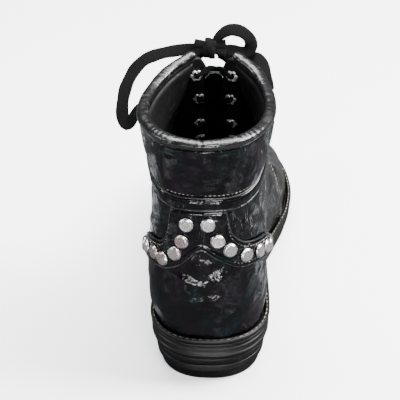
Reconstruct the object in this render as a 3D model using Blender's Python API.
"""Studded lace-up ankle boot, left foot: black patent upper on a stitched welt, a layered rubber sole and a heel.

Frame: metres, +Z up, toe towards +Y, big-toe side towards +X. It is built from the back of the sole and then
moved, so the origin is on the ground under the middle of the boot without its bow.
"""

import math

import bmesh
import bpy
from mathutils import Matrix, Vector

# Driving sizes.
SOLE_LENGTH = 0.272
BALL_WIDTH = 0.098
HEEL_STACK = 0.0300  # ground to the top of the midsole at the heel
FORE_STACK = 0.0137  # the same at the ball
TOE_SPRING = 0.0085
BACK_HEIGHT = 0.162  # ground to the top edge at the back, under its rolled binding
COLLAR_WIDTH = 0.0775
WALL = 0.0022  # patent leather and its lining
CLEARANCE = 0.0003  # between pieces that touch
SKIN_CLEARANCE = 0.0004  # between two faceted layers that follow one curve

# The sole.
WELT_REVEAL = 0.0042
WELT_THICK = 0.0030
MIDSOLE_HEEL_THICK = 0.0117
MIDSOLE_FORE_THICK = 0.0080
MIDSOLE_INSET = 0.0014
MIDSOLE_FOOT = 0.0016  # height of the chamfer at its bottom edge
RIDGE_INSET = 0.0006
RIDGE_GROOVE = 0.0030  # from the top of the midsole down to the middle of its groove
RIDGE_GROOVE_HALF = 0.0010
RIDGE_GROOVE_DEPTH = 0.0012
OUTSOLE_THICK = 0.0054
OUTSOLE_INSET = 0.0020
HEEL_INSET = 0.0032
HEEL_TAPER = 0.0030
HEEL_BREAST = 0.333  # where the heel ends, as a turn of the outline
INSOLE_THICK = 0.0030
FORE_GROOVES = 6
HEEL_GROOVES = 3
GROOVE_WIDTH = 0.0026
GROOVE_DEPTH = 0.0016
TREAD_MARGIN = 0.0085
HEEL_ROUND = 0.150  # length of the rounded heel end, as a share of the sole
TOE_ROUND = 0.250

# Pieces laid on the upper.
CUFF_THICK = 0.0014
CUFF_PUFF = 0.0010
CUFF_END = 0.300
BEAD_THICK = 0.0011
BEAD_DROP = 0.048
STRAP_THICK = 0.0018
STRAP_END = 0.370
STRAP_END_MARGIN = 0.020  # from the last stud to the strap's end, as a share of the way round
EYESTAY_THICK = 0.0012
EYESTAY_GAP = 0.0008  # more than SKIN_CLEARANCE: the instep is hollow here
BINDING_END = 0.478
BINDING_HEIGHT = 0.0040
BINDING_OUT = 0.0020
BINDING_IN = 0.0016
TONGUE_THICK = 0.0020
TONGUE_GAP = 0.0022

# Metal and laces.
STUD_DIAMETER = 0.0088
STUD_HEIGHT = 0.0018
ARM_STUDS = 7  # along each arm of the strap, after its leg's last stud
EYELET_FLANGE = 0.0042
EYELET_FLANGE_THICK = 0.0006
EYELET_ROLL = 0.0036  # radius of the rolled end inside the shaft
EYELET_SEAT = 0.0009  # gap between a flange and the curved face it sits on
EYELET_HOLE = 0.0030
EYELET_BORE = 0.0021
LACE_WIDTH = 0.0080
LACE_BAR_WIDTH = 0.0064
LACE_SPINE_WIDTH = 0.0026
LACE_THICK = 0.0012
LACE_RISE = 0.0010
KNOT_HALF_WIDTH = 0.0095
KNOT_HALF_DEPTH = 0.0052
KNOT_HALF_HEIGHT = 0.0072

# The sole seen from above, a row for each place along it:
# along is a share of SOLE_LENGTH, centre and half are shares of half of BALL_WIDTH.
SOLE_PLAN = (
    # along, centre, half
    (0.00, 0.00, 0.765),
    (0.15, 0.00, 0.765),
    (0.30, -0.02, 0.735),
    (0.42, -0.06, 0.735),
    (0.55, -0.04, 0.860),
    (0.66, 0.00, 0.975),
    (0.74, 0.02, 1.000),
    (0.84, 0.05, 0.960),
    (0.92, 0.09, 0.910),
    (1.00, 0.13, 0.870),
)

# The upper, a row for each line that runs from the feather edge up to the topline or the throat.
# turn: 0 at the back, 1 at the toe. edge: the upper end of the line.
# low and high: the handles of the curve, offsets from the feather point and from the edge.
# x is a share of half of COLLAR_WIDTH, y a share of SOLE_LENGTH, z a share of BACK_HEIGHT.
UPPER_LINES = (
    # turn, edge_x, edge_y, edge_z, low_out, low_y, low_z, high_x, high_y, high_z
    (0.000, 0.000, 0.020, 1.000, 0.00, -0.052, 0.230, 0.00, 0.046, -0.300),
    (0.125, 0.560, 0.048, 1.000, 0.18, -0.030, 0.230, -0.09, 0.026, -0.300),
    (0.250, 0.915, 0.130, 1.000, 0.25, -0.008, 0.230, -0.22, 0.020, -0.300),
    (0.340, 0.955, 0.225, 1.006, 0.20, 0.000, 0.220, -0.20, 0.010, -0.320),
    (0.410, 0.745, 0.322, 1.030, 0.18, 0.000, 0.230, 0.04, -0.010, -0.330),
    (0.455, 0.460, 0.368, 1.056, 0.17, 0.000, 0.220, 0.32, -0.020, -0.280),
    (0.490, 0.250, 0.388, 1.064, 0.16, 0.000, 0.210, 0.48, -0.024, -0.200),
    (0.530, 0.115, 0.400, 0.985, 0.16, 0.000, 0.190, 0.54, -0.028, -0.130),
    (0.580, 0.085, 0.418, 0.830, 0.14, 0.000, 0.160, 0.56, -0.026, -0.090),
    (0.640, 0.085, 0.450, 0.700, 0.11, 0.000, 0.130, 0.56, -0.006, -0.050),
    (0.710, 0.090, 0.500, 0.600, 0.09, 0.000, 0.115, 0.54, 0.030, -0.030),
    (0.780, 0.095, 0.556, 0.530, 0.08, 0.012, 0.105, 0.46, 0.090, -0.016),
    (0.850, 0.090, 0.597, 0.490, 0.07, 0.022, 0.105, 0.34, 0.140, -0.008),
    (0.925, 0.055, 0.612, 0.478, 0.04, 0.030, 0.105, 0.18, 0.190, -0.008),
    (1.000, 0.000, 0.617, 0.475, 0.00, 0.036, 0.105, 0.00, 0.205, -0.010),
)

# How far the shaft leans to the outer side: height is a share of BACK_HEIGHT, shift a share of COLLAR_WIDTH.
UPPER_LEAN = (
    # height, shift
    (0.18, 0.000),
    (0.38, -0.020),
    (0.66, -0.010),
    (1.00, -0.022),
    (1.20, -0.018),
)

# Lower edge of the padded cuff; the bead runs just under it.
CUFF_EDGE = (
    # turn, rise
    (0.00, 0.772),
    (0.08, 0.771),
    (0.15, 0.780),
    (0.20, 0.796),
    (0.24, 0.830),
    (0.27, 0.880),
    (0.30, 0.950),
)

# The heel strap: a tab up the back seam, legs either side of a peak, and an arm along each side.
STRAP_EDGES = (
    # around, low, high
    (-0.380, 0.160, 0.262),
    (-0.300, 0.268, 0.370),
    (-0.221, 0.366, 0.472),
    (-0.188, 0.388, 0.497),
    (-0.151, 0.405, 0.516),
    (-0.132, 0.410, 0.526),
    (-0.114, 0.412, 0.552),
    (-0.107, 0.414, 0.585),
    (-0.104, 0.416, 0.640),
    (-0.101, 0.418, 0.698),
    (-0.096, 0.421, 0.708),
    (-0.065, 0.448, 0.711),
    (-0.046, 0.478, 0.711),
    (-0.028, 0.512, 0.711),
    (-0.006, 0.536, 0.711),
    (0.010, 0.518, 0.711),
    (0.027, 0.495, 0.711),
    (0.051, 0.473, 0.711),
    (0.058, 0.466, 0.708),
    (0.062, 0.462, 0.696),
    (0.065, 0.459, 0.650),
    (0.070, 0.455, 0.606),
    (0.083, 0.443, 0.577),
    (0.099, 0.436, 0.554),
    (0.117, 0.430, 0.540),
    (0.141, 0.426, 0.529),
    (0.172, 0.410, 0.516),
    (0.228, 0.366, 0.480),
    (0.300, 0.268, 0.374),
    (0.380, 0.160, 0.262),
)

# The studs on the tab and its legs, in pairs from the top; the rest walk along the arms from the last pair.
TAB_STUDS = (
    # around, rise
    (-0.048, 0.648),
    (0.008, 0.652),
    (-0.058, 0.567),
    (0.032, 0.576),
    (-0.075, 0.504),
    (0.064, 0.530),
    (-0.111, 0.459),
    (0.111, 0.487),
)

# Lower edge of the eyestays, from the topline to the foot of the throat.
EYESTAY_EDGE = (
    # turn, rise
    (0.436, 0.965),
    (0.450, 0.880),
    (0.470, 0.780),
    (0.490, 0.725),
    (0.520, 0.690),
    (0.560, 0.680),
    (0.630, 0.700),
    (0.700, 0.750),
    (0.760, 0.810),
    (0.820, 0.880),
    (0.860, 0.930),
)

# Eyelets from the top pair down.
EYELETS = (
    # turn, rise
    (0.505, 0.920),
    (0.548, 0.900),
    (0.590, 0.892),
    (0.638, 0.890),
    (0.698, 0.890),
    (0.762, 0.890),
)

# Sides of the tongue, from its top down.
TONGUE_EDGE = (
    # turn, rise
    (0.518, 0.962),
    (0.565, 0.950),
    (0.615, 0.935),
    (0.655, 0.850),
    (0.700, 0.800),
    (0.800, 0.800),
    (0.870, 0.840),
)

# The bow: x is a share of COLLAR_WIDTH, y of SOLE_LENGTH, z of BACK_HEIGHT;
# out is the way the lace's broad face looks.
LACE_KNOT = (-0.046, 0.433, 1.066)
LACE_RIBBONS = {
    "lace_loop_outer": (
        # x, y, z, out_x, out_y, out_z
        (-0.174, 0.438, 1.062, 0.00, -0.70, 0.71),
        (-0.321, 0.438, 1.049, -0.05, -0.70, 0.71),
        (-0.461, 0.430, 1.039, -0.10, -0.72, 0.69),
        (-0.568, 0.419, 1.023, -0.14, -0.78, 0.62),
        (-0.637, 0.408, 0.997, -0.16, -0.80, 0.58),
        (-0.679, 0.397, 0.971, -0.16, -0.82, 0.55),
        (-0.714, 0.382, 0.939, -0.16, -0.84, 0.50),
        (-0.732, 0.368, 0.908, -0.14, -0.84, 0.50),
        (-0.740, 0.353, 0.876, -0.12, -0.84, 0.52),
        (-0.734, 0.338, 0.842, -0.10, -0.80, 0.58),
        (-0.700, 0.325, 0.822, -0.10, -0.74, 0.64),
        (-0.650, 0.316, 0.850, -0.20, -0.70, 0.62),
        (-0.608, 0.310, 0.893, -0.50, -0.50, 0.50),
        (-0.565, 0.308, 0.916, -0.80, -0.20, 0.30),
        (-0.515, 0.319, 0.926, -0.92, 0.25, 0.08),
        (-0.455, 0.343, 0.935, -0.90, 0.40, 0.08),
        (-0.387, 0.368, 0.960, -0.82, 0.55, 0.15),
        (-0.311, 0.388, 0.998, -0.74, 0.64, 0.18),
        (-0.225, 0.405, 1.026, -0.56, 0.80, 0.16),
        (-0.150, 0.418, 1.037, -0.40, 0.84, 0.20),
    ),
    "lace_loop_inner": (
        (0.030, 0.439, 1.114, 0.00, -0.75, 0.66),
        (0.110, 0.444, 1.136, 0.00, -0.75, 0.66),
        (0.203, 0.445, 1.130, 0.05, -0.75, 0.66),
        (0.272, 0.441, 1.103, 0.10, -0.75, 0.66),
        (0.282, 0.436, 1.072, 0.10, -0.75, 0.66),
        (0.227, 0.432, 1.052, 0.05, -0.75, 0.66),
        (0.080, 0.432, 1.064, 0.00, -0.75, 0.66),
    ),
    "lace_end_inner": (
        (0.085, 0.440, 1.030, 0.00, -0.75, 0.66),
        (0.190, 0.442, 1.024, 0.00, -0.75, 0.66),
        (0.262, 0.438, 1.026, 0.04, -0.75, 0.66),
        (0.310, 0.430, 1.034, 0.10, -0.74, 0.66),
        (0.349, 0.418, 1.036, 0.15, -0.74, 0.64),
        (0.389, 0.403, 1.016, 0.22, -0.72, 0.60),
        (0.412, 0.386, 0.986, 0.30, -0.70, 0.55),
        (0.436, 0.375, 0.938, 0.40, -0.66, 0.48),
    ),
}

ROUND_STEPS = 30  # spans from the back to the toe, on each side
RISE_STEPS = 12  # spans from the feather edge to the top edge


def clear_scene():
    for obj in list(bpy.data.objects):
        bpy.data.objects.remove(obj, do_unlink=True)


def catmull(rows, at):
    """A smooth curve through rows, whose first column is the place along it."""
    last = len(rows) - 1
    i = 0
    while i < last - 1 and at > rows[i + 1][0]:
        i += 1
    before, start, end, after = rows[max(i - 1, 0)], rows[i], rows[i + 1], rows[min(i + 2, last)]
    span = end[0] - start[0]
    t = min(max((at - start[0]) / span, 0.0), 1.0)
    found = []
    for column in range(1, len(start)):
        rise_in = (end[column] - before[column]) / max(end[0] - before[0], 1e-9) * span
        rise_out = (after[column] - start[column]) / max(after[0] - start[0], 1e-9) * span
        if i == 0:
            rise_in = 1.5 * (end[column] - start[column]) - 0.5 * rise_out
        if i == last - 1:
            rise_out = 1.5 * (end[column] - start[column]) - 0.5 * rise_in
        found.append(
            (2 * t**3 - 3 * t**2 + 1) * start[column]
            + (t**3 - 2 * t**2 + t) * rise_in
            + (3 * t**2 - 2 * t**3) * end[column]
            + (t**3 - t**2) * rise_out
        )
    return found


def smooth_step(low, high, value):
    t = min(max((value - low) / (high - low), 0.0), 1.0)
    return t * t * (3 - 2 * t)


def round_end(distance, length):
    """Share of the full width that a rounded end has at this distance from its tip."""
    if distance >= length:
        return 1.0
    return (1 - (1 - max(distance, 0.0) / length) ** 2.35) ** (1 / 2.35)


def plan_point(turn, side, inset):
    """A point of the sole's outline, moved inwards by inset. turn is 0 at the back and 1 at the toe."""
    run = SOLE_LENGTH / 2 - inset
    y = SOLE_LENGTH / 2 - run * math.cos(math.pi * turn)
    centre, half = catmull(SOLE_PLAN, y / SOLE_LENGTH)
    half = half * BALL_WIDTH / 2 - inset
    half *= round_end(y - inset, HEEL_ROUND * SOLE_LENGTH - inset)
    half *= round_end(SOLE_LENGTH - inset - y, TOE_ROUND * SOLE_LENGTH - inset)
    return Vector((centre * BALL_WIDTH / 2 + side * half, y, 0.0))


def heel_share(y):
    """1 over the heel, 0 from the ball forwards."""
    return 1 - smooth_step(0.24, 0.60, y / SOLE_LENGTH)


def spring(y):
    along = y / SOLE_LENGTH
    return TOE_SPRING * max(0.0, (along - 0.74) / 0.26) ** 2


def seat_height(y):
    """Top of the midsole."""
    return FORE_STACK + (HEEL_STACK - FORE_STACK) * heel_share(y) + spring(y)


def midsole_bottom(y):
    thick = MIDSOLE_FORE_THICK + (MIDSOLE_HEEL_THICK - MIDSOLE_FORE_THICK) * heel_share(y)
    return seat_height(y) - thick


def outsole_top(y):
    return midsole_bottom(y) - CLEARANCE


def outsole_bottom(y):
    return outsole_top(y) - OUTSOLE_THICK


def upper_point(turn, side, rise):
    """A point of the upper's outer surface: turn from back to toe, rise from feather edge to top edge."""
    row = catmull(UPPER_LINES, turn)
    edge_x, edge_y, edge_z, low_out, low_y, low_z, high_x, high_y, high_z = row
    half, length, tall = COLLAR_WIDTH / 2, SOLE_LENGTH, BACK_HEIGHT
    foot = plan_point(turn, side, WELT_REVEAL)
    foot.z = seat_height(foot.y) + CLEARANCE
    centre = catmull(SOLE_PLAN, foot.y / length)[0] * BALL_WIDTH / 2
    edge = Vector((side * edge_x * half, edge_y * length, edge_z * tall))
    low = foot + Vector((side * low_out * half, low_y * length, low_z * tall))
    high = edge + Vector((side * high_x * half + 0.35 * centre, high_y * length, high_z * tall))
    a, b = 1 - rise, rise
    point = a**3 * foot + 3 * a * a * b * low + 3 * a * b * b * high + b**3 * edge
    shaft = 1 - smooth_step(0.16, 0.40, point.y / length)
    point.x += catmull(UPPER_LEAN, point.z / tall)[0] * COLLAR_WIDTH * shaft
    return point


def skin_point(around, rise, lift=0.0):
    """The upper's surface, lifted along its normal. around is 0 at the back, -1 and 1 at the toe."""
    point = upper_point(abs(around), math.copysign(1.0, around), rise)
    if lift == 0.0:
        return point
    step = 1e-3
    left, right = max(around - step, -1.0), min(around + step, 1.0)
    low, high = max(rise - step, 0.0), min(rise + step, 1.0)
    along = skin_point(right, rise) - skin_point(left, rise)
    up = skin_point(around, high) - skin_point(around, low)
    normal = along.cross(up)
    if abs(around) > 1 - step:
        normal.x = 0.0
    return point + normal.normalized() * lift


def new_object(name, bm, material):
    mesh = bpy.data.meshes.new(name)
    bmesh.ops.remove_doubles(bm, verts=bm.verts, dist=1e-5)
    bmesh.ops.recalc_face_normals(bm, faces=bm.faces)
    bm.to_mesh(mesh)
    bm.free()
    obj = bpy.data.objects.new(name, mesh)
    bpy.context.scene.collection.objects.link(obj)
    mesh.materials.append(material)
    return obj


def make_material(name, colour, roughness, metallic=0.0):
    material = bpy.data.materials.new(name)
    material.use_nodes = True
    shader = material.node_tree.nodes["Principled BSDF"]
    shader.inputs["Base Color"].default_value = (*colour, 1.0)
    shader.inputs["Roughness"].default_value = roughness
    shader.inputs["Metallic"].default_value = metallic
    return material


def grid(columns, rows, place):
    """A sheet of columns x rows points. place(column index, row index) gives each point."""
    bm = bmesh.new()
    bmesh.ops.create_grid(bm, x_segments=columns - 1, y_segments=rows - 1, size=1.0)
    spots = []
    for vert in bm.verts:
        i = round((vert.co.x + 1) / 2 * (columns - 1))
        j = round((vert.co.y + 1) / 2 * (rows - 1))
        spots.append((vert, i, j))
    for vert, i, j in spots:
        vert.co = place(i, j)
    return bm, {vert: (i, j) for vert, i, j in spots}


def panel(name, material, columns, levels, place, lift_in, lift_out):
    """A sheet with thickness. place(column, share of the rise, lift) gives each point."""
    bm, spots = grid(len(columns), levels + 1, lambda i, j: place(columns[i], j / levels, lift_out))
    outer = list(bm.faces)
    pairs = {}
    for vert, (i, j) in spots.items():
        pairs[vert] = bm.verts.new(place(columns[i], j / levels, lift_in))
    for face in outer:
        bm.faces.new([pairs[vert] for vert in reversed(face.verts)])
    for edge in [edge for edge in bm.edges if edge.is_boundary and edge.verts[0] in pairs]:
        first, second = edge.verts
        bm.faces.new((first, second, pairs[second], pairs[first]))
    return new_object(name, bm, material)


def sweep(name, material, frames, section):
    """A section carried along frames. A frame is (origin, across, up); a section point is (across, up)."""
    count = len(frames)

    def place(i, j):
        origin, across, up = frames[i]
        a, b = section[j % len(section)]
        return origin + across * a + up * b

    bm, spots = grid(count, len(section) + 1, place)
    bmesh.ops.remove_doubles(bm, verts=bm.verts, dist=1e-5)
    bmesh.ops.holes_fill(bm, edges=[edge for edge in bm.edges if edge.is_boundary])
    return new_object(name, bm, material)


def columns_between(start, end, extra=()):
    """The upper's own columns from start to end, with some more among them."""
    found = [start, end, *extra]
    for k in range(-ROUND_STEPS, ROUND_STEPS + 1):
        at = k / ROUND_STEPS
        if start < at < end and min(abs(at - kept) for kept in found) > 0.006:
            found.append(at)
    return sorted(found)


def boolean(obj, cutters, operation="DIFFERENCE"):
    for cutter in cutters:
        modifier = obj.modifiers.new("Boolean", "BOOLEAN")
        modifier.operation = operation
        modifier.object = cutter
        modifier.solver = "EXACT"
        cutter.hide_render = True
        cutter.display_type = "WIRE"
    graph = bpy.context.evaluated_depsgraph_get()
    mesh = bpy.data.meshes.new_from_object(obj.evaluated_get(graph))
    obj.modifiers.clear()
    obj.data = mesh
    for cutter in cutters:
        bpy.data.objects.remove(cutter, do_unlink=True)


def facing(origin, direction):
    """A placement at origin with its Z along direction."""
    return Matrix.Translation(origin) @ direction.to_track_quat("Z", "Y").to_matrix().to_4x4()


def cylinder(name, material, placement, radius, low, high, sides):
    bm = bmesh.new()
    middle = Matrix.Translation((0, 0, (low + high) / 2))
    bmesh.ops.create_cone(
        bm, cap_ends=True, segments=sides, radius1=radius, radius2=radius,
        depth=high - low, matrix=placement @ middle,
    )
    return new_object(name, bm, material)


def skin_normal(around, rise):
    return (skin_point(around, rise, 0.001) - skin_point(around, rise)).normalized()


def cuff_low(around):
    return catmull(CUFF_EDGE, abs(around))[0]


def strap_edges(around):
    return catmull(STRAP_EDGES, around)


def make_upper(material):
    """One hollow shell, closed along the toe line, with its wall inside and its eyelet holes cut."""
    bm, spots = grid(
        2 * ROUND_STEPS + 1, RISE_STEPS + 1,
        lambda i, j: skin_point(i / ROUND_STEPS - 1, j / RISE_STEPS),
    )
    obj = new_object("upper", bm, material)
    modifier = obj.modifiers.new("Wall", "SOLIDIFY")
    modifier.thickness = WALL
    modifier.offset = -1.0
    modifier.use_even_offset = True
    boolean(obj, eyelet_holes(material, range(len(EYELETS))))
    return obj


def eyelet_places():
    for number, (turn, rise) in enumerate(EYELETS):
        for side in (-1, 1):
            around = side * turn
            yield number, side, skin_point(around, rise), skin_normal(around, rise)


def eyelet_holes(material, rows, sides=(-1, 1)):
    holes = []
    for number, side, point, normal in eyelet_places():
        if number in rows and side in sides:
            placement = facing(point, normal)
            holes.append(cylinder("hole", material, placement, EYELET_HOLE, -3 * WALL, 3 * WALL, 8))
    return holes


def make_eyelets(material):
    """A barrel with a flange on each face of the eyestay."""
    out_face = EYESTAY_GAP + EYESTAY_THICK + EYELET_SEAT
    in_face = -WALL - EYELET_SEAT
    profile = (
        # radius, height
        (EYELET_BORE, in_face - EYELET_FLANGE_THICK),
        (EYELET_ROLL, in_face - EYELET_FLANGE_THICK),
        (EYELET_HOLE - CLEARANCE, in_face),
        (EYELET_HOLE - CLEARANCE, out_face),
        (EYELET_FLANGE, out_face),
        (EYELET_FLANGE, out_face + EYELET_FLANGE_THICK),
        (EYELET_BORE, out_face + EYELET_FLANGE_THICK),
    )
    sides = 8
    for number, side, point, normal in eyelet_places():
        placement = facing(point, normal)

        def place(i, j):
            radius, height = profile[j % len(profile)]
            angle = 2 * math.pi * i / sides
            return placement @ Vector((radius * math.cos(angle), radius * math.sin(angle), height))

        bm, spots = grid(sides + 1, len(profile) + 1, place)
        new_object("eyelet_%s_%d" % ("outer" if side < 0 else "inner", number + 1), bm, material)


def arm_studs(start):
    """Evenly spaced places from the last stud of a leg, along the middle of the strap's arm."""
    side = math.copysign(1.0, start[0])
    line = [start]
    for k in range(1, 101):
        around = start[0] + (side * (STRAP_END - STRAP_END_MARGIN) - start[0]) * k / 100
        line.append((around, sum(strap_edges(around)) / 2))
    runs = [0.0]
    for before, after in zip(line, line[1:]):
        runs.append(runs[-1] + (skin_point(*after) - skin_point(*before)).length)
    found = []
    for number in range(1, ARM_STUDS + 1):
        reach = runs[-1] * number / ARM_STUDS
        nearest = min(range(len(runs)), key=lambda k: abs(runs[k] - reach))
        found.append(line[nearest])
    return found


def make_studs(material):
    """Flat studs on the tab and along both arms of the strap."""
    places = list(TAB_STUDS)
    for start in TAB_STUDS[-2:]:
        places += arm_studs(start)
    base = SKIN_CLEARANCE + STRAP_THICK + SKIN_CLEARANCE
    for number, (around, rise) in enumerate(places):
        placement = facing(skin_point(around, rise, base), skin_normal(around, rise))
        bm = bmesh.new()
        bmesh.ops.create_cone(
            bm, cap_ends=True, segments=10, radius1=STUD_DIAMETER / 2, radius2=0.84 * STUD_DIAMETER / 2,
            depth=STUD_HEIGHT, matrix=placement @ Matrix.Translation((0, 0, STUD_HEIGHT / 2)),
        )
        new_object("stud_%02d" % (number + 1), bm, material)


def sole_layer(name, material, rings, start=0.0, end=1.0, steps=ROUND_STEPS):
    """A solid plate between rings round the sole, bottom ring first. A ring is (inset, height of y)."""
    bm = bmesh.new()
    bmesh.ops.create_grid(bm, x_segments=steps, y_segments=1, size=1.0)
    turn_of = bm.verts.layers.float.new("turn")
    side_of = bm.verts.layers.float.new("side")
    for vert in bm.verts:
        vert[turn_of] = start + (end - start) * (vert.co.x + 1) / 2
        vert[side_of] = 1.0 if vert.co.y > 0 else -1.0

    def place(verts, inset, height):
        for vert in verts:
            point = plan_point(vert[turn_of], vert[side_of], inset)
            point.z = height(point.y)
            vert.co = point

    place(bm.verts, *rings[0])
    bmesh.ops.remove_doubles(bm, verts=bm.verts, dist=1e-6)
    top = list(bm.faces)
    for number, (inset, height) in enumerate(rings[1:]):
        made = bmesh.ops.extrude_face_region(bm, geom=top)["geom"]
        if number > 0:
            bmesh.ops.delete(bm, geom=[face for face in top if face.is_valid], context="FACES_ONLY")
        place([item for item in made if isinstance(item, bmesh.types.BMVert)], inset, height)
        top = [item for item in made if isinstance(item, bmesh.types.BMFace)]
    return new_object(name, bm, material)


def sole_band(name, material, section):
    """A closed band round the whole outline. A section point is (inset, height above the midsole)."""

    def place(i, j):
        inset, height = section[j % len(section)]
        around = i / ROUND_STEPS - 1
        point = plan_point(abs(around), math.copysign(1.0, around), inset)
        point.z = seat_height(point.y) + height
        return point

    bm, spots = grid(2 * ROUND_STEPS + 1, len(section) + 1, place)
    return new_object(name, bm, material)


def make_outsole(material):
    obj = sole_layer("outsole", material, [(OUTSOLE_INSET + 0.0012, outsole_bottom), (OUTSOLE_INSET, outsole_top)])
    cutters = []
    for number in range(FORE_GROOVES):
        turn = 0.56 + 0.26 * number / (FORE_GROOVES - 1)
        left, right = plan_point(turn, -1, TREAD_MARGIN), plan_point(turn, 1, TREAD_MARGIN)
        cutters.append(groove(material, left, right, outsole_bottom(left.y)))
    boolean(obj, cutters)
    return obj


def make_heel(material):
    top = HEEL_INSET
    obj = sole_layer("heel", material, [
        (top + HEEL_TAPER, lambda y: 0.0),
        (top + 0.35 * HEEL_TAPER, lambda y: 0.5 * outsole_bottom(0.0)),
        (top, lambda y: outsole_bottom(y) - CLEARANCE),
    ], end=HEEL_BREAST, steps=12)
    cutters = []
    for number in range(HEEL_GROOVES):
        turn = HEEL_BREAST * (0.42 + 0.38 * number / (HEEL_GROOVES - 1))
        inset = HEEL_TAPER + TREAD_MARGIN
        left, right = plan_point(turn, -1, inset), plan_point(turn, 1, inset)
        cutters.append(groove(material, left, right, 0.0))
    boolean(obj, cutters)
    return obj


def groove(material, left, right, height):
    bm = bmesh.new()
    middle = (left + right) / 2
    middle.z = height
    size = Matrix.Diagonal(((right - left).length, GROOVE_WIDTH, 2 * GROOVE_DEPTH, 1.0))
    bmesh.ops.create_cube(bm, size=1.0, matrix=Matrix.Translation(middle) @ size)
    return new_object("groove", bm, material)


def make_binding(material):
    """A rolled edge that follows the topline up to both corners of the throat."""
    frames = []
    for around in columns_between(-BINDING_END, BINDING_END):
        edge = skin_point(around, 1.0)
        before, after = skin_point(around - 0.004, 1.0), skin_point(around + 0.004, 1.0)
        along = (after - before).normalized()
        across = -skin_normal(around, 1.0)
        across = (across - along * across.dot(along)).normalized()
        up = across.cross(along).normalized()
        if up.z < 0:
            up = -up
        frames.append((edge, across, up))
    over, under = -BINDING_OUT, WALL + BINDING_IN
    base, top = CLEARANCE, CLEARANCE + BINDING_HEIGHT
    section = (
        (over, base), (under, base), (under + 0.0002, base + 0.55 * BINDING_HEIGHT), (0.78 * under, top),
        (0.7 * over, top), (over - 0.0002, base + 0.55 * BINDING_HEIGHT),
    )
    return sweep("collar_binding", material, frames, section)


def make_cuff(material):
    def place(around, share, lift):
        low = cuff_low(around) + 0.004
        rise = low + (0.985 - low) * share
        puff = CUFF_PUFF * math.sin(math.pi * share) if lift > CUFF_THICK else 0.0
        return skin_point(around, rise, lift + puff)

    columns = columns_between(-CUFF_END, CUFF_END)
    panel("collar_cuff", material, columns, 4, place, SKIN_CLEARANCE, SKIN_CLEARANCE + CUFF_THICK)


def make_bead(material):
    def place(around, share, lift):
        low = cuff_low(around) - BEAD_DROP - 0.004
        rise = min(low + BEAD_DROP * share, 0.985)
        puff = 0.0004 * math.sin(math.pi * share) if lift > BEAD_THICK else 0.0
        return skin_point(around, rise, lift + puff)

    columns = columns_between(-CUFF_END, CUFF_END)
    panel("collar_bead", material, columns, 2, place, SKIN_CLEARANCE, SKIN_CLEARANCE + BEAD_THICK)


def make_strap(material):
    def place(around, share, lift):
        low, high = strap_edges(around)
        return skin_point(around, low + (high - low) * share, lift)

    extra = [row[0] for row in STRAP_EDGES if -STRAP_END < row[0] < STRAP_END]
    columns = columns_between(-STRAP_END, STRAP_END, extra)
    panel("heel_strap", material, columns, 3, place, SKIN_CLEARANCE, SKIN_CLEARANCE + STRAP_THICK)


def make_eyestays(material):
    for name, side in (("eyestay_outer", -1), ("eyestay_inner", 1)):
        def place(turn, share, lift):
            low = catmull(EYESTAY_EDGE, turn)[0]
            return skin_point(side * turn, low + (0.985 - low) * share, lift)

        columns = columns_between(EYESTAY_EDGE[0][0], EYESTAY_EDGE[-1][0])
        panel(name, material, columns, 4, place, EYESTAY_GAP, EYESTAY_GAP + EYESTAY_THICK)
        boolean(bpy.data.objects[name], eyelet_holes(material, range(len(EYELETS)), (side,)))


def make_tongue(material):
    """A plate behind the throat, from the vamp up to its slumped top."""
    def place(turn, share, lift):
        across = 2 * share - 1
        side, reach = math.copysign(1.0, across), abs(across)
        low = catmull(TONGUE_EDGE, turn)[0]
        rise = 1 - max(reach - 0.15, 0.0) / 0.85 * (1 - low)
        point = skin_point(side * turn, rise, lift)
        if reach < 0.15:
            middle = (skin_point(turn, 1.0, lift) + skin_point(-turn, 1.0, lift)) / 2
            point = middle + (point - middle) * reach / 0.15
        return point

    first, last = TONGUE_EDGE[0][0], TONGUE_EDGE[-1][0]
    columns = [first + (last - first) * k / 11 for k in range(12)]
    outer = -WALL - TONGUE_GAP
    panel("tongue", material, columns, 10, place, outer - TONGUE_THICK, outer)


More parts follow.
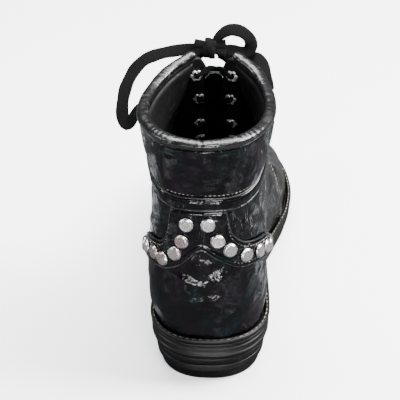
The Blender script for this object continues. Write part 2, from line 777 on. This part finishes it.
def make_laces(material):
    """Lace bars over the throat, one joined solid, then the knot, loops and ends of the bow."""
    lift = EYESTAY_GAP + EYESTAY_THICK + EYELET_SEAT + EYELET_FLANGE_THICK + CLEARANCE + LACE_THICK / 2
    rows = {}
    for number, side, point, normal in eyelet_places():
        rows[number, side] = (point + normal * (lift + LACE_RISE), normal)
    middles = []
    bars = []
    last = len(EYELETS) - 1
    for number in range(len(EYELETS)):
        turn = EYELETS[number][0]
        if number == last:
            ahead = turn
        elif number == 0:
            ahead = turn - 0.012
        else:
            ahead = (turn + EYELETS[number - 1][0]) / 2
        edge = (skin_point(ahead, 1.0) + skin_point(-ahead, 1.0)) / 2
        out = (skin_normal(ahead, 0.98) + skin_normal(-ahead, 0.98)).normalized()
        middle = edge + out * (lift + 2 * LACE_RISE)
        middles.append((middle, out))
        path = [rows[number, -1], (middle, out), rows[number, 1]]
        bars.append(ribbon("bar", material, path, LACE_BAR_WIDTH, LACE_THICK))
    spine = [(middle - out * 0.5 * LACE_THICK, out) for middle, out in middles]
    bars.append(ribbon("spine", material, spine, LACE_SPINE_WIDTH, 1.6 * LACE_THICK))
    first = bars.pop(0)
    first.name = "lace_crossings"
    first.data.name = "lace_crossings"
    boolean(first, bars, "UNION")

    width, length, tall = COLLAR_WIDTH, SOLE_LENGTH, BACK_HEIGHT
    for name, rows in LACE_RIBBONS.items():
        path = []
        steps = 2 * (len(rows) - 1)
        for k in range(steps + 1):
            x, y, z, out_x, out_y, out_z = catmull([(n, *row) for n, row in enumerate(rows)], k / 2)
            point = Vector((x * width, y * length, z * tall))
            path.append((point, Vector((out_x, out_y, out_z)).normalized()))
        ribbon(name, material, path, LACE_WIDTH, LACE_THICK)

    bm = bmesh.new()
    x, y, z = LACE_KNOT
    centre = Vector((x * width, y * length, z * tall))
    size = Matrix.Diagonal((KNOT_HALF_WIDTH, KNOT_HALF_DEPTH, KNOT_HALF_HEIGHT, 1.0))
    bmesh.ops.create_uvsphere(bm, u_segments=10, v_segments=6, radius=1.0, matrix=Matrix.Translation(centre) @ size)
    new_object("lace_knot", bm, material)


def ribbon(name, material, path, width, thick):
    """A flat lace along path, whose entries are (point, the way its broad face looks)."""
    frames = []
    for k, (point, out) in enumerate(path):
        before, after = path[max(k - 1, 0)][0], path[min(k + 1, len(path) - 1)][0]
        along = (after - before).normalized()
        across = out.cross(along).normalized()
        frames.append((point, across, along.cross(across).normalized()))
    section = ((-width / 2, -thick / 2), (width / 2, -thick / 2), (width / 2, thick / 2), (-width / 2, thick / 2))
    return sweep(name, material, frames, section)


def centre_on_ground():
    """Put the origin on the ground, under the middle of all but the bow."""
    bow = ("lace_knot", *LACE_RIBBONS)
    corners = [
        vert.co for obj in bpy.context.scene.objects if obj.name not in bow for vert in obj.data.vertices
    ]
    low = Vector([min(corner[axis] for corner in corners) for axis in range(3)])
    high = Vector([max(corner[axis] for corner in corners) for axis in range(3)])
    shift = Matrix.Translation((-(low.x + high.x) / 2, -(low.y + high.y) / 2, -low.z))
    for obj in bpy.context.scene.objects:
        obj.data.transform(shift)


def main():
    clear_scene()
    patent = make_material("patent_leather", (0.012, 0.012, 0.014), 0.14)
    lining = make_material("lining_leather", (0.02, 0.02, 0.022), 0.42)
    rubber = make_material("sole_rubber", (0.018, 0.018, 0.018), 0.55)
    nickel = make_material("nickel", (0.72, 0.69, 0.68), 0.28, 1.0)
    lace = make_material("lace_fabric", (0.013, 0.013, 0.015), 0.75)

    make_upper(patent)
    make_cuff(patent)
    make_bead(patent)
    make_strap(patent)
    make_eyestays(patent)
    make_tongue(patent)
    make_binding(lining)
    make_eyelets(nickel)
    make_studs(nickel)
    make_laces(lace)
    sole_layer("insole", lining, [
        (WELT_REVEAL + WALL + 0.0008, lambda y: seat_height(y) + CLEARANCE),
        (WELT_REVEAL + WALL + 0.0004, lambda y: seat_height(y) + CLEARANCE + INSOLE_THICK),
    ])
    reveal = WELT_REVEAL - SKIN_CLEARANCE
    sole_band("welt", rubber, (
        (0.0006, CLEARANCE), (reveal, CLEARANCE), (reveal - 0.0016, CLEARANCE + WELT_THICK),
        (0.0007, CLEARANCE + WELT_THICK), (0.0, CLEARANCE + 0.7 * WELT_THICK),
    ))
    sole_layer("midsole", rubber, [
        (MIDSOLE_INSET + 0.0004, midsole_bottom),
        (MIDSOLE_INSET, lambda y: midsole_bottom(y) + MIDSOLE_FOOT),
        (RIDGE_INSET, lambda y: seat_height(y) - RIDGE_GROOVE - RIDGE_GROOVE_HALF),
        (RIDGE_INSET + RIDGE_GROOVE_DEPTH, lambda y: seat_height(y) - RIDGE_GROOVE),
        (RIDGE_INSET, lambda y: seat_height(y) - RIDGE_GROOVE + RIDGE_GROOVE_HALF),
        (RIDGE_INSET + 0.0002, seat_height),
    ])
    make_outsole(rubber)
    make_heel(rubber)
    centre_on_ground()


if __name__ == "__main__":
    main()
